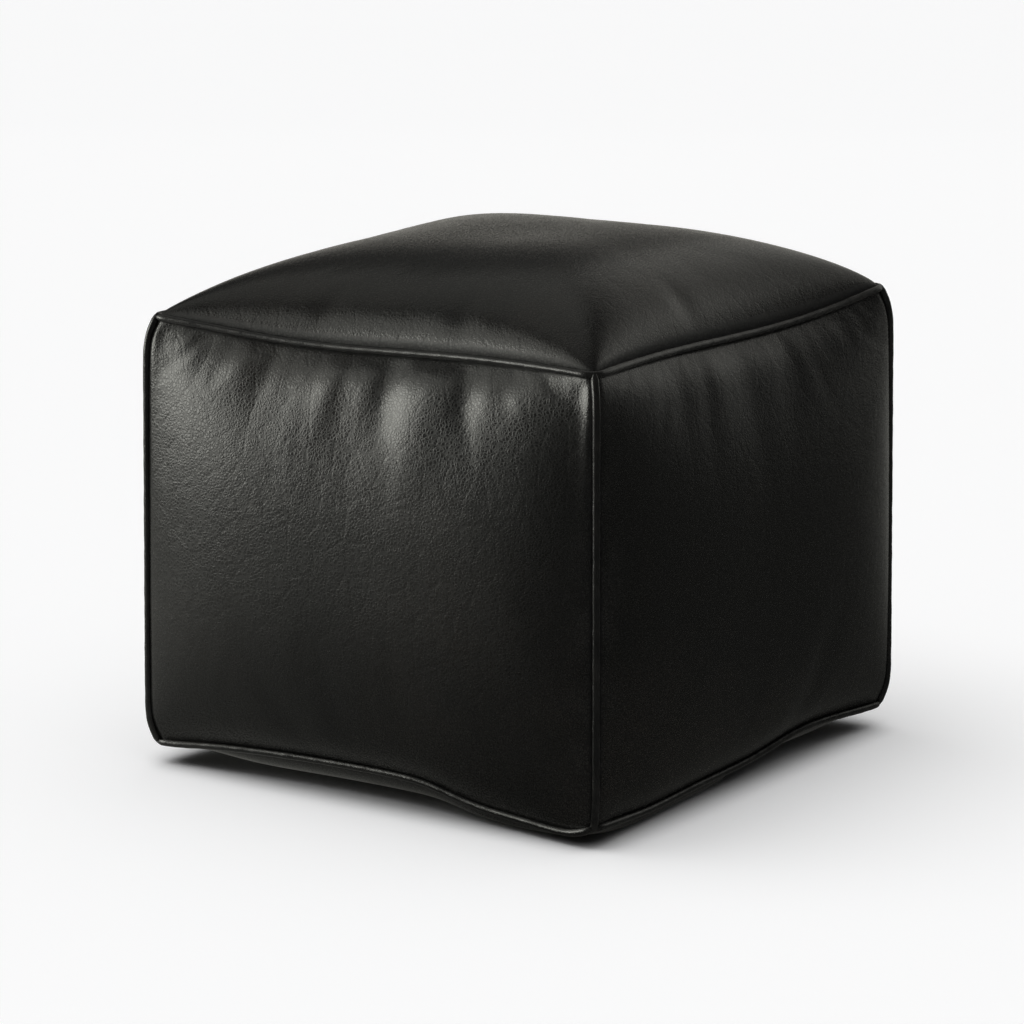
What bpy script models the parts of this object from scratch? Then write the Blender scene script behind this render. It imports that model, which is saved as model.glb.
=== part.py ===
"""Square leather pouf: a piped leather cover, zipped across its base, over a stuffed inner bag.

Metres, +Z up. The origin is on the floor under the middle of the pouf, and -Y is the front.
"""

import math

import bmesh
import bpy
from mathutils import Euler, Matrix, Vector

# Form of the stuffed cover
SEAM_WIDTH = 0.456  # between opposite top seams, measured at the corners
BASE_SPREAD = 0.006  # how much further apart the base seams are
SEAM_HEIGHT = 0.378  # base seam to top seam, at a corner
BASE_LIFT = 0.020  # base seam corners above the floor
CORNER_RADIUS = 0.012  # where a seam turns round a corner
TOP_CROWN = 0.072  # how far the stuffing pushes out each panel
SIDE_CROWN = 0.032
BASE_CROWN = 0.060  # the floor flattens most of this
TOP_SAG = 0.011  # how far the middle of a seam is drawn in by the stuffing
BASE_SAG = 0.010
SOFT_POWER = 0.6  # the smaller it is, the steeper a panel rises from its seams
BASE_POWER = 4  # the larger it is, the wider the flat of the base

# Sheets and cords
LEATHER = 0.0014
PIPING_LEATHER = 0.0009
CORD_RADIUS = 0.0025
CLEARANCE = 0.0003  # between pieces that touch
ALLOWANCE = 0.009  # leather turned in behind a seam
CLIPPED_ALLOWANCE = 0.0005  # what is left of it where it is clipped at a corner
HUG_ANGLE = math.radians(60)  # where a panel meets the piping, from straight behind the seam
FOLD_ANGLE = math.radians(17)  # where it leaves the piping to run in behind it

# Zip across the base
ZIP_LENGTH = 0.300
TAPE_WIDTH = 0.012
TAPE_THICKNESS = 0.0007
TAPE_OVERHANG = 0.010
MOUTH_HALF = 0.008  # half the opening between the two base panels
VALLEY_HALF = 0.030  # the base rises towards the mouth from here
VALLEY_DEPTH = 0.003
HEM_WIDTH = 0.010
HEM_NOSE = 0.0011
TOOTH_PITCH = 0.006
TOOTH_GAP = 0.00035
TOOTH_REACH = 0.0012  # past the middle line
SPINE_START = 0.0016
SPINE_WIDTH = 0.0014
CHAIN_THICKNESS = 0.003
STOP_LENGTH = 0.002

# Zip slider and its pull
SLIDER_LENGTH = 0.016
SLIDER_WIDTH = 0.011
SLIDER_PLATE = 0.001
SLIDER_WALL = 0.0015
POST_LENGTH = 0.0035
POST_WIDTH = 0.002
BRIDGE_LENGTH = 0.008
BRIDGE_WIDTH = 0.0026
BRIDGE_BAR = 0.0009
BRIDGE_LEG = 0.0012
BRIDGE_OPENING = 0.0022
PULL_LENGTH = 0.030
PULL_WIDTH = 0.0072
PULL_THICKNESS = 0.0012
PULL_EAR = 0.0012
WELD_DEPTH = 0.0003  # how far pieces of one casting run into each other

# Inner bag
BAG_INSET = 0.026  # bag edges behind the seam lines
BAG_FLOOR = 0.014
BAG_SIDE_CROWN = 0.042
BAG_TOP_CROWN = 0.069
BAG_BASE_CROWN = 0.020  # the bag's lower edges stand this far above its floor
BAG_CLOTH = 0.0006
BAG_SLACK = 0.004  # between the cloth and the stuffing's plain solid
BAG_MOUTH = (0.200, 0.006)

# Mesh fineness
SIDE_CELLS = 8
ARC_CELLS = 4
PIPE_SEGMENTS = 8
BASE_CELLS = 4
BAG_CELLS = 6

# Worked out from the sizes above
BASE_WIDTH = SEAM_WIDTH + BASE_SPREAD
FLOOR_TO_TOP_SEAM = BASE_LIFT + SEAM_HEIGHT
PIPE_STEP = math.tau / PIPE_SEGMENTS
PIPE_MIDDLE = (CORD_RADIUS + CLEARANCE) / math.cos(PIPE_STEP / 2) + PIPING_LEATHER / 2
PIPE_OUTER = PIPE_MIDDLE + PIPING_LEATHER / 2 / math.cos(PIPE_STEP / 2)
LEG_OFFSET = (CLEARANCE + PIPING_LEATHER) / 2
GRAIN_OFFSET = LEG_OFFSET + PIPING_LEATHER / 2 + CLEARANCE
HUG_RADIUS = (PIPE_OUTER + CLEARANCE) / math.cos((HUG_ANGLE - FOLD_ANGLE) / 2)
FOLD_DEPTH = math.sqrt(HUG_RADIUS**2 - GRAIN_OFFSET**2)
CORNER_INSET = CORNER_RADIUS * (1 - math.sqrt(0.5))
HEM_TOP = VALLEY_DEPTH + 2 * LEATHER + CLEARANCE
CHAIN_HEIGHT = HEM_TOP + CLEARANCE + TAPE_THICKNESS / 2
ZIP_HALF = ZIP_LENGTH / 2
SLIDER_NOSE = ZIP_HALF - STOP_LENGTH - CLEARANCE
SLIDER_MIDDLE = SLIDER_NOSE - SLIDER_LENGTH / 2
PLATE_DEPTH = CHAIN_THICKNESS / 2 + CLEARANCE
HINGE_HEIGHT = CHAIN_HEIGHT - PLATE_DEPTH - SLIDER_PLATE - BRIDGE_OPENING / 2

SIDES = {"front": 0, "right": 90, "back": 180, "left": 270}
CORNERS = {"front_left": 0, "front_right": 90, "back_right": 180, "back_left": 270}


def turned(degrees):
    """Rotation about the pouf's upright axis."""
    return Matrix.Rotation(math.radians(degrees), 4, "Z")


def clear_scene():
    """Remove what the scene holds and return the collections for parts and for cutters."""
    for item in list(bpy.data.objects):
        bpy.data.objects.remove(item)
    collections = []
    for name in ("leather_pouf", "cutters"):
        collection = bpy.data.collections.new(name)
        bpy.context.scene.collection.children.link(collection)
        collections.append(collection)
    return collections


def material(name, colour, roughness, metallic=0.0):
    """Principled material with one colour."""
    made = bpy.data.materials.new(name)
    made.use_nodes = True
    shader = made.node_tree.nodes["Principled BSDF"]
    shader.inputs["Base Color"].default_value = (*colour, 1.0)
    shader.inputs["Roughness"].default_value = roughness
    shader.inputs["Metallic"].default_value = metallic
    return made


def add_object(name, data, surface, location=(0, 0, 0)):
    """Put a mesh or a curve in the pouf's collection with its own material."""
    made = bpy.data.objects.new(name, data)
    made.location = location
    data.materials.append(material(name, *surface))
    bpy.data.collections["leather_pouf"].objects.link(made)
    return made


def mesh_object(name, bm, surface, location=(0, 0, 0)):
    """Finish a bmesh as an object with smooth faces and sharp creases."""
    mesh = bpy.data.meshes.new(name)
    bm.to_mesh(mesh)
    bm.free()
    mesh.shade_smooth()
    mesh.set_sharp_from_angle(angle=math.radians(40))
    return add_object(name, mesh, surface, location)


def solidify(item, thickness, offset):
    """Give an open sheet its thickness."""
    wall = item.modifiers.new("thickness", "SOLIDIFY")
    wall.thickness = thickness
    wall.offset = offset
    wall.use_even_offset = True
    return wall


def box(name, size, centre, surface):
    """Rectangular block."""
    bm = bmesh.new()
    bmesh.ops.create_cube(bm, size=1.0, matrix=Matrix.Diagonal((*size, 1.0)))
    return mesh_object(name, bm, surface, centre)


def plate(name, outlines, thickness, surface, location, rotation=(0, 0, 0)):
    """Flat piece cut to closed outlines; the second outline and later ones are holes."""
    curve = bpy.data.curves.new(name, "CURVE")
    curve.dimensions = "2D"
    curve.fill_mode = "BOTH"
    curve.extrude = thickness / 2
    for outline in outlines:
        spline = curve.splines.new("POLY")
        spline.points.add(len(outline) - 1)
        for point, (x, y) in zip(spline.points, outline):
            point.co = (x, y, 0, 1)
        spline.use_cyclic_u = True
    made = add_object(name, curve, surface, location)
    made.rotation_euler = Euler(rotation)
    return made


def as_welded_mesh(item):
    """Swap a curve object for a mesh object with its caps welded on."""
    bpy.context.view_layer.update()
    graph = bpy.context.evaluated_depsgraph_get()
    mesh = bpy.data.meshes.new_from_object(item.evaluated_get(graph))
    bm = bmesh.new()
    bm.from_mesh(mesh)
    bmesh.ops.remove_doubles(bm, verts=bm.verts, dist=1e-6)
    bmesh.ops.recalc_face_normals(bm, faces=bm.faces)
    bm.to_mesh(mesh)
    bm.free()
    name, matrix = item.name, item.matrix_world.copy()
    bpy.data.objects.remove(item)
    made = bpy.data.objects.new(name, mesh)
    made.matrix_world = matrix
    bpy.data.collections["leather_pouf"].objects.link(made)
    return made


def weld_into(item, tools):
    """Join hidden tool shapes to an object, so they are cast as one piece."""
    for tool in tools:
        join = item.modifiers.new(tool.name, "BOOLEAN")
        join.operation = "UNION"
        join.object = tool
        tool.hide_render = True
        tool.display_type = "WIRE"
        bpy.data.collections["leather_pouf"].objects.unlink(tool)
        bpy.data.collections["cutters"].objects.link(tool)


# Seam lines --------------------------------------------------------------------------------


def fullness(place):
    """Height of a stuffed panel's swell, 1 in the middle and 0 at the seam."""
    return (1 - place**2) ** SOFT_POWER


def flattened(place):
    """The same for the base, which has a wide flat middle."""
    return 1 - place**BASE_POWER


def half_width(height):
    """Half the distance between opposite sides, at a height between the two rings of seam."""
    share = (height - BASE_LIFT) / SEAM_HEIGHT
    return (BASE_WIDTH + (SEAM_WIDTH - BASE_WIDTH) * share) / 2


def drawn_in(along, sag):
    """How far a seam is pulled in, for a place along it from -1 to 1."""
    return sag * (1 - along**2)


def side_places():
    """Places along one side, from the end of one corner's arc to the start of the next."""
    return [-1 + 2 * cell / SIDE_CELLS for cell in range(SIDE_CELLS + 1)]


def offsets(depth, sideways):
    """Turn a place behind a seam into an inset in the panel's plane and a rise out of it."""
    return (depth + sideways) * math.sqrt(0.5), (sideways - depth) * math.sqrt(0.5)


HUG_INSET, HUG_RISE = offsets(HUG_RADIUS * math.cos(HUG_ANGLE), HUG_RADIUS * math.sin(HUG_ANGLE))
FOLD_INSET, FOLD_RISE = offsets(FOLD_DEPTH, GRAIN_OFFSET)
END_INSET, END_RISE = offsets(FOLD_DEPTH + ALLOWANCE, GRAIN_OFFSET)


# Leather panels ----------------------------------------------------------------------------


def turn_in(bm, edges, moves):
    """Extrude a run of edges once for each move, which shifts the new row."""
    for move in moves:
        made = bmesh.ops.extrude_edge_only(bm, edges=edges)["geom"]
        row = [part for part in made if isinstance(part, bmesh.types.BMVert)]
        for vert in row:
            vert.co += move
        edges = [
            part
            for part in made
            if isinstance(part, bmesh.types.BMEdge) and all(vert in row for vert in part.verts)
        ]


def edge_run(bm, grid, columns, rows):
    """Edges of a grid that join neighbouring places in the given columns and rows."""
    wanted = {grid[column, row] for column in columns for row in rows}
    return [edge for edge in bm.edges if edge.is_boundary and all(v in wanted for v in edge.verts)]


def sheet_grid(columns, rows, place):
    """Grid mesh whose vertices are moved to place(column, row); returns it and its vertices."""
    bm = bmesh.new()
    bmesh.ops.create_grid(bm, x_segments=columns - 1, y_segments=rows - 1, size=1.0)
    grid = {}
    for vert in bm.verts:
        column = round((vert.co.x + 1) / 2 * (columns - 1))
        row = round((vert.co.y + 1) / 2 * (rows - 1))
        grid[column, row] = vert
    for (column, row), vert in grid.items():
        vert.co = place(column, row)
    return bm, grid


def allowance_moves(inwards, outwards):
    """Steps from a panel's edge, round behind the piping and along the seam allowance."""
    round_piping = inwards * (FOLD_INSET - HUG_INSET) + outwards * (FOLD_RISE - HUG_RISE)
    along_seam = inwards * (END_INSET - FOLD_INSET) + outwards * (END_RISE - FOLD_RISE)
    return round_piping, along_seam


def finish_panel(name, bm, outwards, surface):
    """Face a sheet outwards, thicken it inwards and make it an object."""
    bmesh.ops.recalc_face_normals(bm, faces=bm.faces)
    bm.normal_update()
    widest = max(bm.faces, key=lambda face: face.calc_area())
    if widest.normal.dot(outwards) < 0:
        bmesh.ops.reverse_faces(bm, faces=bm.faces)
    solidify(mesh_object(name, bm, surface), LEATHER, -1)


def square_panel(name, place, across, up, outwards, surface):
    """Panel with seams on four sides; seam allowances stop short of its corners."""
    count = SIDE_CELLS + 3
    last = count - 1
    bm, grid = sheet_grid(count, count, place)
    between = range(1, last)
    runs = [
        (edge_run(bm, grid, [0], between), across),
        (edge_run(bm, grid, [last], between), -across),
        (edge_run(bm, grid, between, [0]), up),
        (edge_run(bm, grid, between, [last]), -up),
    ]
    for edges, inwards in runs:
        turn_in(bm, edges, allowance_moves(inwards, outwards))
    finish_panel(name, bm, outwards, surface)


def top_place(column, row):
    """Point of the top panel's grain side."""
    places = [-1, *side_places(), 1]
    last = len(places) - 1
    half = SEAM_WIDTH / 2
    inner = half - CORNER_RADIUS
    s, t = places[column], places[row]
    side_edge, end_edge = column in (0, last), row in (0, last)
    if side_edge and end_edge:
        corner = half - CORNER_INSET - HUG_INSET * math.sqrt(0.5)
        return Vector((s * corner, t * corner, FLOOR_TO_TOP_SEAM + HUG_RISE))
    x = s * (half - drawn_in(t, TOP_SAG) - HUG_INSET) if side_edge else s * inner
    y = t * (half - drawn_in(s, TOP_SAG) - HUG_INSET) if end_edge else t * inner
    sag = drawn_in(s, TOP_SAG) + drawn_in(t, TOP_SAG)
    swell = 0
    if not (side_edge or end_edge):
        swell = TOP_CROWN * fullness(x / half) * fullness(y / half)
    return Vector((x, y, FLOOR_TO_TOP_SEAM + HUG_RISE - sag + swell))


def front_place(column, row):
    """Point of the front panel's grain side; the other sides are this one turned."""
    places = [-1, *side_places(), 1]
    last = len(places) - 1
    s, t = places[column], places[row]
    side_edge, end_edge = column in (0, last), row in (0, last)
    low = BASE_LIFT + CORNER_RADIUS
    high = FLOOR_TO_TOP_SEAM - CORNER_RADIUS
    z = low + (high - low) * (t + 1) / 2
    if row == 0:
        z = BASE_LIFT + drawn_in(s, BASE_SAG) + HUG_INSET
    if row == last:
        z = FLOOR_TO_TOP_SEAM - drawn_in(s, TOP_SAG) - HUG_INSET
    half = half_width(z)
    if side_edge:
        edge = half - CORNER_INSET
        return Vector((s * (edge - HUG_INSET), -edge - HUG_RISE, z))
    x = s * (half - CORNER_RADIUS)
    sag = drawn_in(s, TOP_SAG) * (1 + t) / 2 + drawn_in(s, BASE_SAG) * (1 - t) / 2
    swell = 0
    if not end_edge:
        upright = (z - (BASE_LIFT + FLOOR_TO_TOP_SEAM) / 2) / (SEAM_HEIGHT / 2)
        swell = SIDE_CROWN * fullness(x / half) * fullness(upright)
    return Vector((x, -(half - sag + HUG_RISE + swell), z))


def base_rows():
    """Distances of the base panel's rows from the middle line, from the seam to the mouth."""
    outer = BASE_WIDTH / 2 - CORNER_RADIUS
    step = (outer - VALLEY_HALF) / BASE_CELLS
    return [None, *(outer - step * cell for cell in range(BASE_CELLS + 1)), MOUTH_HALF]


def base_place(column, row):
    """Point of the front base panel's grain side; the rear one is its mirror image."""
    places = [-1, *side_places(), 1]
    rows = base_rows()
    half = BASE_WIDTH / 2
    inner = half - CORNER_RADIUS
    s = places[column]
    side_edge = column in (0, len(places) - 1)
    if row == 0:
        if side_edge:
            corner = half - CORNER_INSET - HUG_INSET * math.sqrt(0.5)
            return Vector((s * corner, -corner, BASE_LIFT - HUG_RISE))
        sag = drawn_in(s, BASE_SAG)
        return Vector((s * inner, -(half - sag - HUG_INSET), BASE_LIFT + sag - HUG_RISE))
    at_mouth = row == len(rows) - 1
    y = rows[row]
    sag_here = drawn_in(y / inner, BASE_SAG)
    cell = 2 * inner / SIDE_CELLS
    past_zip = abs(s) * inner - cell > ZIP_HALF + TAPE_OVERHANG
    if at_mouth and (past_zip or side_edge):
        y = HEM_NOSE + CLEARANCE / 2
    if side_edge:
        return Vector((s * (half - sag_here - HUG_INSET), -y, BASE_LIFT + sag_here - HUG_RISE))
    x = s * inner
    swell = BASE_CROWN * flattened(x / half) * flattened(y / half)
    z = max(0, BASE_LIFT + drawn_in(s, BASE_SAG) + sag_here - HUG_RISE - swell)
    return Vector((x, -y, z + (VALLEY_DEPTH if at_mouth else 0)))


def base_panel(name, side, surface):
    """Half of the base: seam allowances on three sides and a hem along the zip."""
    columns = SIDE_CELLS + 3
    rows = len(base_rows())
    last = columns - 1
    mirror = Vector((1, side, 1))
    bm, grid = sheet_grid(columns, rows, lambda column, row: base_place(column, row) * mirror)
    down = Vector((0, 0, -1))
    across = Vector((1, 0, 0))
    to_mouth = Vector((0, side, 0))
    sewn_rows = range(1, rows - 1)
    between = range(1, last)
    half_fold = Vector((0, 0, LEATHER + CLEARANCE / 2))
    hem = (
        to_mouth * HEM_NOSE + half_fold,
        -to_mouth * HEM_NOSE + half_fold,
        -to_mouth * HEM_WIDTH,
    )
    runs = [
        (edge_run(bm, grid, [0], sewn_rows), allowance_moves(across, down)),
        (edge_run(bm, grid, [last], sewn_rows), allowance_moves(-across, down)),
        (edge_run(bm, grid, between, [0]), allowance_moves(to_mouth, down)),
        (edge_run(bm, grid, between, [rows - 1]), hem),
    ]
    for edges, moves in runs:
        turn_in(bm, edges, moves)
    finish_panel(name, bm, down, surface)


# Piping ------------------------------------------------------------------------------------


def piping_section(leg):
    """Fold line of the piping strip round its cord, as (depth, sideways) behind the seam."""
    neck = math.asin(LEG_OFFSET / PIPE_MIDDLE)
    sweep = math.tau - 2 * neck
    turns = [neck + sweep * step / PIPE_SEGMENTS for step in range(PIPE_SEGMENTS + 1)]
    hoop = [(PIPE_MIDDLE * math.cos(turn), PIPE_MIDDLE * math.sin(turn)) for turn in turns]
    end = PIPE_MIDDLE + leg
    return [(end, LEG_OFFSET), *hoop, (end, -LEG_OFFSET)]


def ring_stations(width, height, sag, upwards):
    """Stations round a ring of seam: point, direction behind the seam, sideways, clipped."""
    half = width / 2
    inner = half - CORNER_RADIUS
    stations = []
    for degrees in SIDES.values():
        turn = turned(degrees)
        for place in side_places():
            dip = drawn_in(place, sag)
            point = Vector((place * inner, dip - half, height + upwards * dip))
            stations.append((turn @ point, turn @ Vector((0, 1, 0)), False))
        for step in range(1, ARC_CELLS):
            angle = math.radians(90) * step / ARC_CELLS
            outwards = Vector((math.sin(angle), -math.cos(angle), 0))
            centre = Vector((inner, -inner, height))
            stations.append((turn @ (centre + outwards * CORNER_RADIUS), turn @ -outwards, True))
    up = Vector((0, 0, upwards))
    return [
        (point, (inwards + up).normalized(), (inwards - up).normalized(), clipped)
        for point, inwards, clipped in stations
    ]


def corner_stations():
    """Stations up the front left corner's seam, between the two rings."""
    end_gap = PIPE_OUTER + CLEARANCE
    low, high = BASE_LIFT + CORNER_RADIUS, FLOOR_TO_TOP_SEAM - CORNER_RADIUS
    heights = [BASE_LIFT + end_gap]
    heights += [low + (high - low) * (place + 1) / 2 for place in side_places()]
    heights += [FLOOR_TO_TOP_SEAM - end_gap]
    inwards = Vector((1, 1, 0)).normalized()
    sideways = Vector((1, -1, 0)).normalized()
    stations = []
    for height in heights:
        edge = half_width(height) - CORNER_INSET
        clipped = height in (heights[0], heights[-1])
        stations.append((Vector((-edge, -edge, height)), inwards, sideways, clipped))
    return stations


def piping(name, stations, closed, turn, surface):
    """Leather strip folded round the cord, with both edges running in behind the seam."""
    full = FOLD_DEPTH + ALLOWANCE - PIPE_MIDDLE
    rows = stations + stations[:1] if closed else stations

    def place(column, row):
        point, behind, sideways, clipped = rows[row]
        depth, offset = piping_section(CLIPPED_ALLOWANCE if clipped else full)[column]
        return turn @ (point + behind * depth + sideways * offset)

    bm, grid = sheet_grid(PIPE_SEGMENTS + 3, len(rows), place)
    if closed:
        bmesh.ops.remove_doubles(bm, verts=bm.verts, dist=1e-6)
    bmesh.ops.recalc_face_normals(bm, faces=bm.faces)
    solidify(mesh_object(name, bm, surface), PIPING_LEATHER, 0)


def cord(name, stations, closed, turn, surface):
    """Round cord inside the piping."""
    curve = bpy.data.curves.new(name, "CURVE")
    curve.dimensions = "3D"
    curve.bevel_depth = CORD_RADIUS
    curve.bevel_resolution = 2
    curve.use_fill_caps = not closed
    spline = curve.splines.new("POLY")
    spline.points.add(len(stations) - 1)
    for point, station in zip(spline.points, stations):
        point.co = (*(turn @ station[0]), 1)
    spline.use_cyclic_u = closed
    add_object(name, curve, surface)


# Zip ---------------------------------------------------------------------------------------


def teeth_row(name, side, first, last, surface):
    """Spine along one tape edge with teeth that reach past the middle line."""
    width = TOOTH_PITCH / 2 - TOOTH_GAP
    spine = SPINE_START + SPINE_WIDTH
    outline = [(last, spine), (first, spine)]
    start = first if side < 0 else first + TOOTH_PITCH / 2
    outline.append((first, SPINE_START))
    while start + width <= last:
        if start > first:
            outline.append((start, SPINE_START))
        else:
            outline.pop()
        outline += [(start, -TOOTH_REACH), (start + width, -TOOTH_REACH), (start + width, SPINE_START)]
        start += TOOTH_PITCH
    outline.append((last, SPINE_START))
    outline = [(x, y * side) for x, y in outline]
    row = plate(name, [outline], CHAIN_THICKNESS, surface, (0, 0, CHAIN_HEIGHT))
    as_welded_mesh(row)


def slider(surface):
    """Slider casting: two channels held apart by a post, with a bridge for the pull."""
    half = SLIDER_WIDTH / 2
    wall_depth = TAPE_THICKNESS / 2 + CLEARANCE
    plate_out = PLATE_DEPTH + SLIDER_PLATE
    channel = [
        (-half, plate_out),
        (-half, wall_depth),
        (-half + SLIDER_WALL, wall_depth),
        (-half + SLIDER_WALL, PLATE_DEPTH),
        (half - SLIDER_WALL, PLATE_DEPTH),
        (half - SLIDER_WALL, wall_depth),
        (half, wall_depth),
        (half, plate_out),
    ]
    upright = (math.radians(90), 0, math.radians(90))
    middle = (SLIDER_MIDDLE, 0, CHAIN_HEIGHT)
    lower = [(y, -depth) for y, depth in channel]
    casting = as_welded_mesh(plate("zip_slider", [lower], SLIDER_LENGTH, surface, middle, upright))
    inner = as_welded_mesh(plate("slider_inner", [channel], SLIDER_LENGTH, surface, middle, upright))
    post_size = (POST_LENGTH, POST_WIDTH, 2 * (PLATE_DEPTH + WELD_DEPTH))
    post_middle = (SLIDER_NOSE - POST_LENGTH / 2 - WELD_DEPTH, 0, CHAIN_HEIGHT)
    post = box("slider_post", post_size, post_middle, surface)
    reach = BRIDGE_LENGTH / 2
    under = BRIDGE_OPENING + BRIDGE_BAR
    bridge_outline = [
        (-reach, WELD_DEPTH),
        (-reach, -under),
        (reach, -under),
        (reach, WELD_DEPTH),
        (reach - BRIDGE_LEG, WELD_DEPTH),
        (reach - BRIDGE_LEG, -BRIDGE_OPENING),
        (-reach + BRIDGE_LEG, -BRIDGE_OPENING),
        (-reach + BRIDGE_LEG, WELD_DEPTH),
    ]
    bridge_place = (SLIDER_MIDDLE, 0, CHAIN_HEIGHT - plate_out)
    on_edge = (math.radians(90), 0, 0)
    bridge = plate("slider_bridge", [bridge_outline], BRIDGE_WIDTH, surface, bridge_place, on_edge)
    weld_into(casting, [post, inner, as_welded_mesh(bridge)])
    return casting


def pull(surface):
    """Tab with a window for the slider's bridge; its crossbar turns under the bridge."""
    bar = PULL_THICKNESS / 2
    half = PULL_WIDTH / 2
    clear = math.hypot(BRIDGE_LENGTH / 2, BRIDGE_OPENING / 2 + BRIDGE_BAR) + 2 * CLEARANCE
    window = BRIDGE_WIDTH / 2 + CLEARANCE
    ears = window + PULL_EAR
    outline = [
        (bar, -ears),
        (bar, ears),
        (-clear, half),
        (-PULL_LENGTH + half, half),
        (-PULL_LENGTH, half / 2),
        (-PULL_LENGTH, -half / 2),
        (-PULL_LENGTH + half, -half),
        (-clear, -half),
    ]
    hole = [(-bar, -window), (-clear, -window), (-clear, window), (-bar, window)]
    place = (SLIDER_MIDDLE, 0, HINGE_HEIGHT)
    return as_welded_mesh(plate("zip_pull", [outline, hole], PULL_THICKNESS, surface, place))


def zip_parts(tape, teeth, metal):
    """Tapes, teeth, stops, slider and pull."""
    tape_start = SPINE_START + SPINE_WIDTH + CLEARANCE
    tape_length = ZIP_LENGTH + 2 * TAPE_OVERHANG
    stop_width = SPINE_START + SPINE_WIDTH
    stop_x = ZIP_HALF - STOP_LENGTH / 2
    chain_start = -ZIP_HALF + STOP_LENGTH + CLEARANCE
    chain_end = SLIDER_NOSE - POST_LENGTH - WELD_DEPTH - CLEARANCE
    top_stop = POST_WIDTH / 2
    for name, side in (("front", -1), ("rear", 1)):
        middle = side * (tape_start + TAPE_WIDTH / 2)
        size = (tape_length, TAPE_WIDTH, TAPE_THICKNESS)
        box(f"zip_tape_{name}", size, (0, middle, CHAIN_HEIGHT), tape)
        teeth_row(f"zip_teeth_{name}", side, chain_start, chain_end, teeth)
        size = (STOP_LENGTH, stop_width - top_stop, CHAIN_THICKNESS)
        centre = (stop_x, side * (stop_width + top_stop) / 2, CHAIN_HEIGHT)
        box(f"zip_top_stop_{name}", size, centre, metal)
    size = (STOP_LENGTH, 2 * stop_width, CHAIN_THICKNESS)
    box("zip_bottom_stop", size, (-stop_x, 0, CHAIN_HEIGHT), metal)
    slider(metal)
    pull(metal)


# Inner bag ---------------------------------------------------------------------------------


def stuffed_block(shrink):
    """Soft block that fills the cover, smaller by shrink on every side."""
    half = min(SEAM_WIDTH, BASE_WIDTH) / 2 - BAG_INSET - shrink
    low = BAG_FLOOR + shrink
    high = FLOOR_TO_TOP_SEAM - BAG_INSET - shrink
    bm = bmesh.new()
    bmesh.ops.create_cube(bm, size=2.0)
    bmesh.ops.subdivide_edges(bm, edges=bm.edges, cuts=BAG_CELLS - 1, use_grid_fill=True)
    for vert in bm.verts:
        x, y, z = vert.co
        round_x, round_y, round_z = (fullness(place) for place in (x, y, z))
        crown = BAG_TOP_CROWN * round_x * round_y * max(z, 0)
        lift = BAG_BASE_CROWN * (1 - flattened(x) * flattened(y)) * max(-z, 0)
        vert.co.x = x * (half + BAG_SIDE_CROWN * round_y * round_z)
        vert.co.y = y * (half + BAG_SIDE_CROWN * round_x * round_z)
        vert.co.z = low + (high - low) * (z + 1) / 2 + crown + lift
    return bm


def inner_bag(cloth, stuffing):
    """Cloth bag, open along the mouth under it, and the stuffing inside."""
    bm = stuffed_block(0)
    length, gap = BAG_MOUTH
    for axis, place in ((0, length / 2), (0, -length / 2), (1, gap / 2), (1, -gap / 2)):
        normal = [0, 0, 0]
        normal[axis] = 1
        point = [0, 0, 0]
        point[axis] = place
        geometry = [*bm.verts, *bm.edges, *bm.faces]
        bmesh.ops.bisect_plane(bm, geom=geometry, plane_co=point, plane_no=normal)
    mouth = []
    for face in bm.faces:
        centre = face.calc_center_median()
        inside = abs(centre.x) < length / 2 and abs(centre.y) < gap / 2
        if inside and centre.z < BAG_FLOOR + BAG_CLOTH:
            mouth.append(face)
    bmesh.ops.delete(bm, geom=mouth, context="FACES")
    bmesh.ops.recalc_face_normals(bm, faces=bm.faces)
    solidify(mesh_object("inner_bag", bm, cloth), BAG_CLOTH, -1)
    mesh_object("filling", stuffed_block(BAG_CLOTH + BAG_SLACK), stuffing)


def main():
    """Build every piece of the pouf."""
    clear_scene()
    leather = ((0.013, 0.012, 0.011), 0.42)
    edging = ((0.011, 0.010, 0.010), 0.36)
    cotton = ((0.62, 0.58, 0.48), 0.90)
    across = Vector((1, 0, 0))
    up = Vector((0, 0, 1))
    square_panel("top_panel", top_place, across, Vector((0, 1, 0)), up, leather)
    for name, degrees in SIDES.items():
        turn = turned(degrees)
        square_panel(
            f"{name}_panel",
            lambda column, row: turn @ front_place(column, row),
            turn @ across,
            up,
            turn @ Vector((0, -1, 0)),
            leather,
        )
    base_panel("base_panel_front", 1, leather)
    base_panel("base_panel_rear", -1, leather)
    rings = {
        "top": ring_stations(SEAM_WIDTH, FLOOR_TO_TOP_SEAM, TOP_SAG, -1),
        "base": ring_stations(BASE_WIDTH, BASE_LIFT, BASE_SAG, 1),
    }
    for name, stations in rings.items():
        piping(f"piping_{name}", stations, True, turned(0), edging)
        cord(f"piping_cord_{name}", stations, True, turned(0), cotton)
    for name, degrees in CORNERS.items():
        piping(f"piping_{name}", corner_stations(), False, turned(degrees), edging)
        cord(f"piping_cord_{name}", corner_stations(), False, turned(degrees), cotton)
    zip_parts(((0.015, 0.015, 0.015), 0.85), ((0.02, 0.02, 0.02), 0.35), ((0.5, 0.48, 0.45), 0.3, 1.0))
    inner_bag(((0.72, 0.68, 0.58), 0.9), ((0.80, 0.79, 0.75), 0.95))


main()
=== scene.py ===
"""Dresses a square stuffed leather pouf: swollen panels, piped seams, and a zip across its base.

Metres, +Z up. The origin is on the floor under the middle of the pouf, and -Y is the front.
"""

import logging
import math
from dataclasses import dataclass, field
from enum import Enum
from typing import Any, Callable, Mapping, Sequence

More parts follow.
